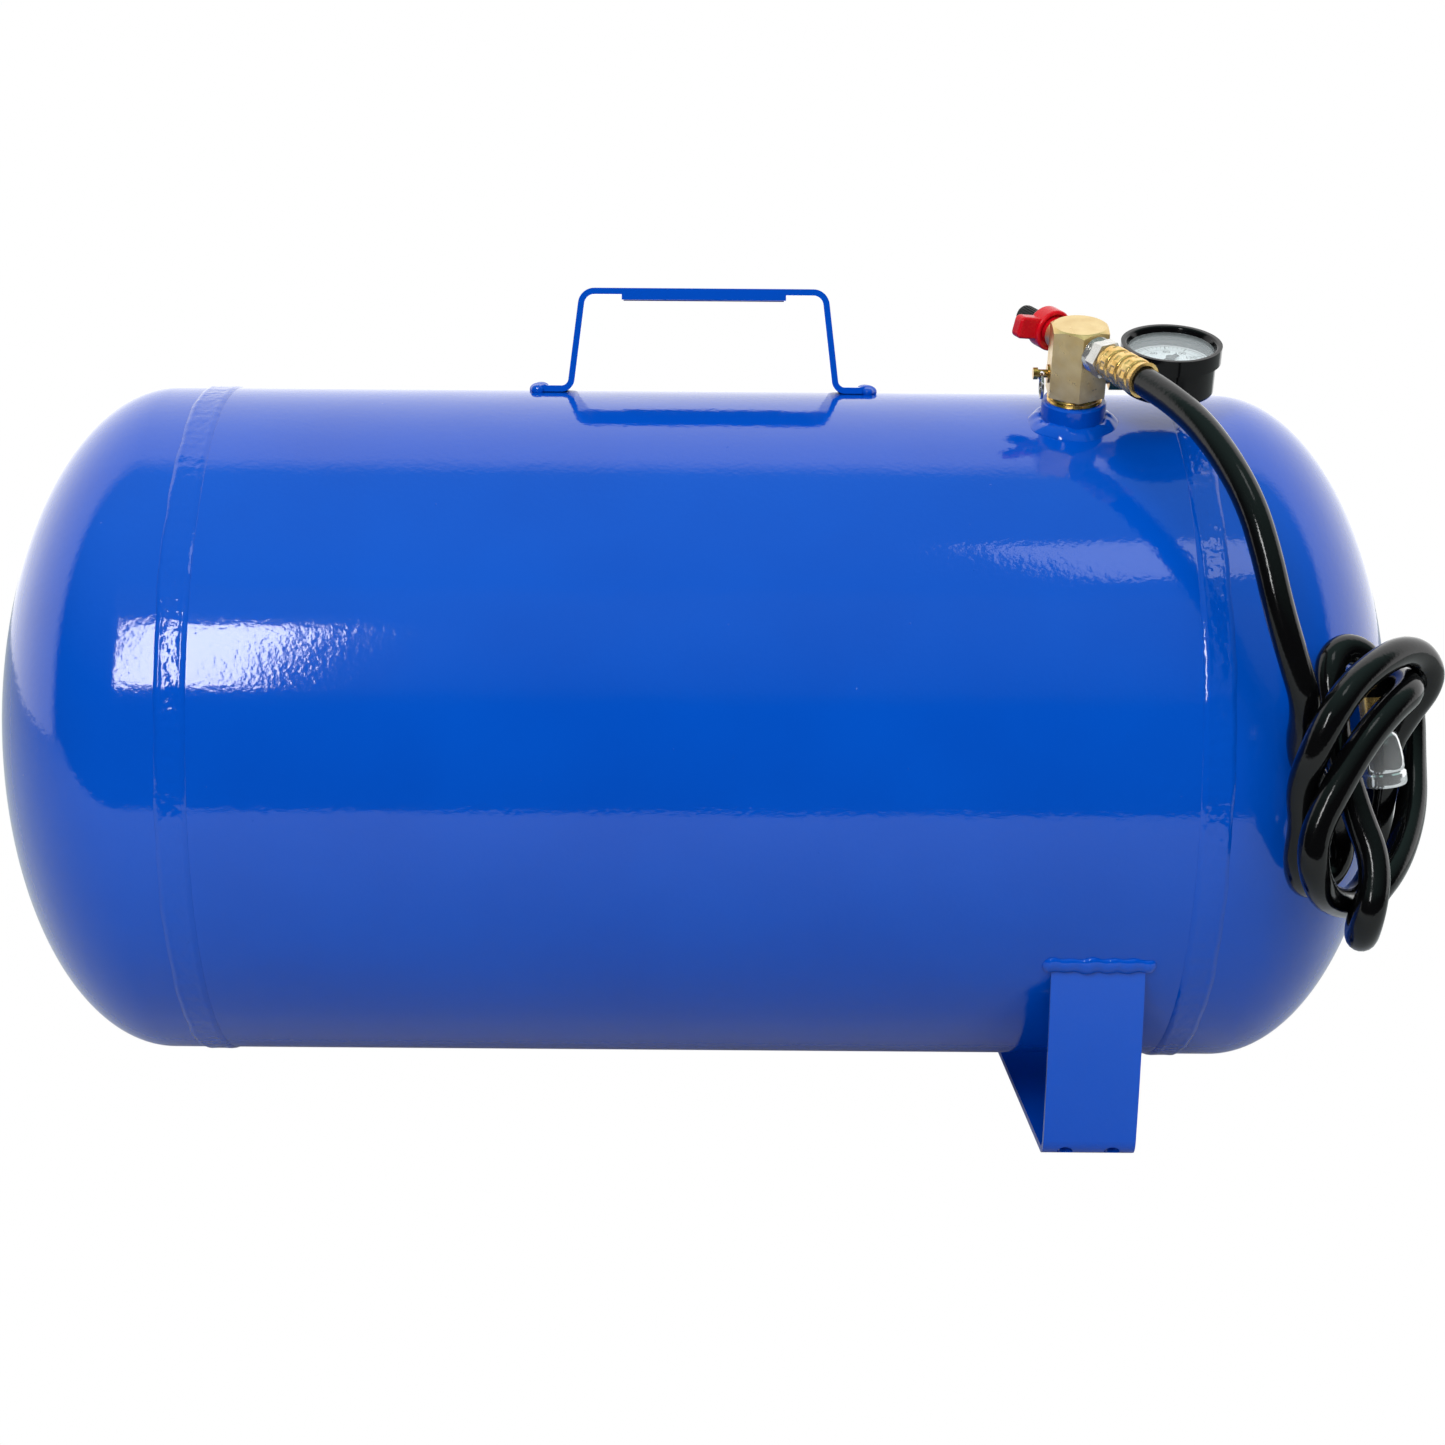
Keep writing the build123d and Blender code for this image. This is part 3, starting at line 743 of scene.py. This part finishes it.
def crimpedSleeve():
    # r = R + a swollen ring at each height less nine oblong dimples in it, then a flared lip
    low, high = sleeveSpec["low"], sleeveSpec["high"]
    z = np.linspace(low, high, 122)[:, None]
    a = angles(144)[None]
    r = sleeveSpec["radius"] + 0 * z * a
    for middle in sleeveSpec["rings"]:
        ringShape = np.clip(1 - ((z - middle) / 2.6) ** 4, 0, 1) ** 0.5
        dent = np.clip(1 - (np.abs(np.cos(4.5 * a + middle)) / 0.8) ** 6, 0, 1)
        dent = dent * np.clip(1 - ((z - middle) / 1.5) ** 6, 0, 1)
        r = r + sleeveSpec["swell"] * ringShape - sleeveSpec["dimple"] * dent
    r = r + 0.75 * np.clip((z - (high - 1.8)) / 1.8, 0, 1) ** 2
    r = r - 0.7 * np.clip((low + 0.8 - z) / 0.8, 0, 1) ** 2
    inside = [polar(sleeveSpec["bore"], a, np.array([[end]])) for end in (high, low)]
    points = np.concatenate([polar(r, a, z), *inside])
    mesh = gridMesh("crimpedSleeve", place(points, hosePort), wrapRows=True, sharp=50)
    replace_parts(addPiece("crimpedSleeve", mesh, "brass_ferrule", "root"), "hose_ferrule")


crimpedSleeve()


ringSpec = {
    "wire": 0.42,              # radius of the wire
    "steps": 160,
}


def splitRing():
    # two turns of wire, (x + 2.1 w (u - 0.5), y + R cos t, z + R sin t), so x drifts by a wire's thickness
    low, high = boxMm("pull_ring")
    middle = (low + high) / 2
    wire = ringSpec["wire"]
    big = (high[2] - low[2]) / 2 - wire
    u = np.linspace(0, 1, ringSpec["steps"])
    turn = 2 * tau * u + 0.6
    across = middle[0] + (u - 0.5) * 2 * wire * 1.05
    path = np.stack([across, middle[1] + big * np.cos(turn), middle[2] + big * np.sin(turn)], -1)
    mesh = gridMesh("splitRing", tubeAlong(path, wire, 12) * mm, caps=True)
    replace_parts(addPiece("splitRing", mesh, "spring_steel", "pull_ring"), "pull_ring")


splitRing()


bellSpec = {
    "profile": [               # (r, z) up the outside, over the rim and back down the inside
        (5.0, 2.2), (5.6, 2.6), (6.6, 4.2), (7.5, 7.0), (8.2, 10.5), (8.6, 14.0), (8.7, 17.5),
        (8.3, 18.6), (8.4, 19.2), (9.0, 19.8), (9.15, 21.0), (9.15, 24.0), (8.8, 24.8), (8.2, 25.0),
        (7.2, 24.6), (7.1, 20.2), (4.3, 20.0), (4.3, 9.0), (2.5, 9.0), (2.5, 2.2),
    ],
    "facets": 6,
    "facetLow": 3.5,           # z where they start, end and blend into the round
    "facetHigh": 18.0,
    "facetBlend": 2.5,
    "facetDepth": 0.92,        # a facet's middle as a share of the round radius
    "outsideSteps": 34,        # fine steps that belong to the outside face
}


def chuckBell():
    # r times min(1, d / cos b), d the facet's depth and b the angle from the nearest facet's middle, blended
    # in and out along the bell
    spec = bellSpec
    r, z = np.array(spec["profile"]).T
    fine = np.linspace(0, len(r) - 1, (len(r) - 1) * 4 + 1)
    r = np.interp(fine, np.arange(len(r)), r)[:, None]
    z = np.interp(fine, np.arange(len(z)), z)[:, None]
    a = angles(144)[None]
    half = pi / spec["facets"]
    off = (a + half) % (2 * half) - half
    facet = np.clip((z - spec["facetLow"]) / spec["facetBlend"], 0, 1)
    facet = facet * np.clip((spec["facetHigh"] - z) / spec["facetBlend"], 0, 1)
    facet = facet * (fine[:, None] < spec["outsideSteps"])
    flat = np.minimum(1.0, spec["facetDepth"] / np.cos(off))
    points = polar(r * (1 - facet + facet * flat), a, z)
    mesh = gridMesh("chuckBell", place(points, chuck), wrapRows=True, sharp=35)
    piece = addPiece("chuckBell", mesh, "chrome", "root")
    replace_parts(piece, "chuck_body")
    return piece


reliefSpringSpec = {
    "joint": "relief_pull",
    "radius": 2.5,
    "wire": 0.3,
    "low": 5.25,
    "high": 10.35,
    "turns": 5,
    "fixed": 10.35,            # the spring's fixed end
    "keep": 0.50,              # share of its length the real spring keeps at the pull's far limit
}
chuckSpringSpec = {
    "joint": "chuck_press",
    "radius": 2.6,
    "wire": 0.3,
    "low": 11.05,
    "high": 15.45,
    "turns": 4,
    "fixed": 11.05,
    "keep": 0.54,
}


def coilSpring(name, node, where, spec):
    # a circle of the wire carried along (r cos a, r sin a, z), with z rising evenly
    u = np.linspace(0, 1, 240)[:, None]
    a = tau * spec["turns"] * u
    height = spec["low"] + spec["wire"] + u * (spec["high"] - spec["low"] - 2 * spec["wire"])
    coil = np.concatenate([spec["radius"] * np.cos(a), spec["radius"] * np.sin(a), height], 1)
    path = place(coil, where) / mm
    mesh = gridMesh(name, tubeAlong(path, spec["wire"], 10) * mm, caps=True)
    spring = addPiece(name, mesh, "spring_steel", "root")
    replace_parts(spring, node)
    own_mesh(spring)
    return spring


coilSpring("reliefSpringWire", "relief_spring", reliefPort, reliefSpringSpec)
chuckSpring = coilSpring("chuckSpringWire", "chuck_spring", chuck, chuckSpringSpec)
onHose = [chuckBell(), chuckSpring]
onHose += [nodes[name] for name in ("chuck_ferrule", "chuck_seal", "chuck_pin")]

dialSpec = {
    "face": 181.15,            # height of the print, from the tank's axis
    "startTurn": 225,          # degrees, zero low on the left
    "sweep": 270,              # degrees, clockwise
    "ticks": 40,
    "longTick": (13.4, 0.22),  # inner radius, half width
    "shortTick": (14.8, 0.10),
    "tickEnd": 16.6,
    "arcs": ((16.6, 16.8), (12.6, 12.75)),
    "numberRadius": 10.4,
    "numberSize": 3.4,
    "numbers": 8,              # numbered steps of 20
}


def dialPrint():
    # ticks are thin bars on rays (cos t, sin t) from the centre, t falling evenly from its start
    spec = dialSpec
    work = bmesh.new()
    top = spec["face"]
    for step in range(spec["ticks"] + 1):
        turn = radians(spec["startTurn"] - spec["sweep"] * step / spec["ticks"])
        inner, half = spec["longTick"] if step % 5 == 0 else spec["shortTick"]
        outer = spec["tickEnd"]
        ray = np.array([cos(turn), sin(turn)])
        side = np.array([-ray[1], ray[0]]) * half
        corners = [ray * inner - side, ray * outer - side, ray * outer + side, ray * inner + side]
        rows = place(np.array([[c[0], c[1], top] for c in corners]), gauge)
        work.faces.new([work.verts.new(p) for p in rows])
    for low, high in spec["arcs"]:
        turns = np.radians(np.linspace(spec["startTurn"], spec["startTurn"] - spec["sweep"], 91))
        ends = [place(polar(r, turns, top), gauge) for r in (low, high)]
        made = [[work.verts.new(p) for p in end] for end in ends]
        for i in range(90):
            work.faces.new([made[0][i], made[0][i + 1], made[1][i + 1], made[1][i]])
    mesh = bpy.data.meshes.new("dialScale")
    work.to_mesh(mesh)
    work.free()
    addPiece("dialScale", mesh, "needle_black", "root")
    origin, x, y, z = gauge
    for step in range(spec["numbers"] + 1):
        turn = radians(spec["startTurn"] - spec["sweep"] * step / spec["numbers"])
        letters = bpy.data.curves.new("dialNumber", "FONT")
        letters.body = str(step * 20)
        letters.size = spec["numberSize"] * mm
        letters.align_x = "CENTER"
        letters.align_y = "CENTER"
        holder = bpy.data.objects.new("dialNumber", letters)
        flat = bpy.data.meshes.new_from_object(holder)
        bpy.data.objects.remove(holder)
        out = spec["numberRadius"] * (cos(turn) * x + sin(turn) * y)
        centre = (origin + out + top * z) * mm
        rows = [(x[i], y[i], z[i], centre[i]) for i in range(3)]
        flat.transform(Matrix((*rows, (0, 0, 0, 1))))
        flat.materials.clear()
        addPiece("dialNumber" + str(step * 20), flat, "needle_black", "root")


dialPrint()


lensSpec = {
    "edge": 187.1,             # height of the rim, from the tank's axis
    "rise": 1.5,
    "radius": 18.25,
    "thick": 1.2,
}


def domedLens():
    # z = edge + rise (1 - (r / R)^2) above, the same dome one thickness lower beneath
    r = np.linspace(0.0, lensSpec["radius"], 25)
    top = lensSpec["edge"] + lensSpec["rise"] * (1 - (r / lensSpec["radius"]) ** 2)
    profile = list(zip(r, top)) + list(zip(r[::-1], top[::-1] - lensSpec["thick"]))
    mesh = gridMesh("domedLens", place(lathe(profile, 96), gauge), sharp=50)
    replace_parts(addPiece("domedLens", mesh, "clear_lens", "root"), "gauge_lens")


domedLens()
print("valve group, gauge and chuck made")

stageSpec = {
    "frontEdge": -0.52,        # metres
    "backEdge": 3.0,
    "half": 3.0,
}


def palePaper():
    # White paper sweep: matt in what it lights, plain white where it is seen directly.
    material, tree, shader = newMaterial("palePaper")[:3]
    setShader(shader, color=linear("#CCCCCC"), rough=0.9)
    seen = addNode(tree, "ShaderNodeLightPath").outputs["Is Camera Ray"]
    plain = addNode(tree, "ShaderNodeEmission", {"Color": (1, 1, 1, 1), "Strength": 1.0})
    both = addNode(tree, "ShaderNodeMixShader", {0: seen, 1: shader.outputs[0], 2: plain.outputs[0]})
    tree.links.new(both.outputs[0], tree.nodes["Material Output"].inputs["Surface"])
    return material


def flatStage():
    # one flat quad at height zero
    mesh = bpy.data.meshes.new("paleFloor")
    front, back, half = stageSpec["frontEdge"], stageSpec["backEdge"], stageSpec["half"]
    corners = [(-half, front, 0), (half, front, 0), (half, back, 0), (-half, back, 0)]
    mesh.from_pydata(corners, [], [(0, 1, 2, 3)])
    mesh.materials.append(palePaper())
    floor = bpy.data.objects.new("paleFloor", mesh)
    bpy.context.scene.collection.objects.link(floor)


flatStage()


studioSpec = {
    "behind": 1.35,            # brightness of the white behind and low
    "tip": 13,                 # degrees that the edge between white and dim leans
    "blend": 0.06,             # half the width of that edge
    "dim": (0.03, 0.03, 0.03, 1),
    "ceiling": (0.30, 0.50, 0.46, 1),
    "ceilingFrom": 0.25,       # height of the view direction, 0 level and 1 straight up
    "ceilingTo": 0.95,
}


def surroundings():
    # White behind, dim in front with a pale green ceiling, and plain white where it is seen directly. The
    # share of white is the view direction's part along (0, cos tip, -sin tip), ramped over a narrow band.
    spec = studioSpec
    world = bpy.data.worlds.new("studio")
    world.use_nodes = True
    tree = world.node_tree
    tree.nodes.clear()
    coords = addNode(tree, "ShaderNodeTexCoord").outputs["Generated"]
    tip = radians(spec["tip"])
    facing = {0: coords, 1: (0, cos(tip), -sin(tip))}
    behind = addNode(tree, "ShaderNodeVectorMath", facing, operation="DOT_PRODUCT")
    share = ramp(tree, behind.outputs["Value"], -spec["blend"], spec["blend"])
    mix = addNode(tree, "ShaderNodeMix", data_type="RGBA")
    tree.links.new(share, mix.inputs["Factor"])
    height = addNode(tree, "ShaderNodeSeparateXYZ", {0: coords}).outputs["Z"]
    ceiling = addNode(tree, "ShaderNodeMix", data_type="RGBA")
    rising = ramp(tree, height, spec["ceilingFrom"], spec["ceilingTo"])
    tree.links.new(rising, ceiling.inputs["Factor"])
    ceiling.inputs["A"].default_value = spec["dim"]
    ceiling.inputs["B"].default_value = spec["ceiling"]
    tree.links.new(ceiling.outputs["Result"], mix.inputs["A"])
    mix.inputs["B"].default_value = (spec["behind"], spec["behind"], spec["behind"], 1)
    studio = addNode(tree, "ShaderNodeBackground", {"Color": mix.outputs["Result"], "Strength": 1.0})
    plain = addNode(tree, "ShaderNodeBackground", {"Color": (1, 1, 1, 1), "Strength": 1.0})
    seen = addNode(tree, "ShaderNodeLightPath").outputs["Is Camera Ray"]
    both = addNode(tree, "ShaderNodeMixShader", {0: seen, 1: studio.outputs[0], 2: plain.outputs[0]})
    out = addNode(tree, "ShaderNodeOutputWorld")
    tree.links.new(both.outputs[0], out.inputs["Surface"])
    bpy.context.scene.world = world


surroundings()


# Sizes and places in metres, power in watts; the fill lights the front and is not mirrored by the paint.
softboxes = {
    "keySoftbox": {
        "where": (-0.55, -1.65, 1.04),
        "target": (-0.1, 0, 0.2),
        "size": (0.22, 0.66),
        "power": 8.0,
        "mirrored": True,
    },
    "rightSoftbox": {
        "where": (0.47, -0.75, 1.60),
        "target": (0.15, 0, 0.2),
        "size": (0.30, 0.36),
        "power": 0.75,
        "mirrored": True,
    },
    "frontFill": {
        "where": (0.0, -2.2, 1.6),
        "target": (0, 0, 0.2),
        "size": (2.2, 1.6),
        "power": 55.0,
        "mirrored": False,
    },
}


def softbox(name, spec):
    # a rectangular light whose -z looks from where it stands to its target
    light = bpy.data.lights.new(name, "AREA")
    light.shape = "RECTANGLE"
    light.size, light.size_y = spec["size"]
    light.energy = spec["power"]
    lamp = bpy.data.objects.new(name, light)
    back = Vector(spec["where"]) - Vector(spec["target"])
    turn = back.to_track_quat("Z", "Y").to_matrix().to_4x4()
    lamp.matrix_world = Matrix.Translation(spec["where"]) @ turn
    lamp.visible_camera = False
    lamp.visible_glossy = spec["mirrored"]
    bpy.context.scene.collection.objects.link(lamp)


for name, spec in softboxes.items():
    softbox(name, spec)
bpy.context.scene.view_settings.view_transform = "Standard"
print("stage and light set")
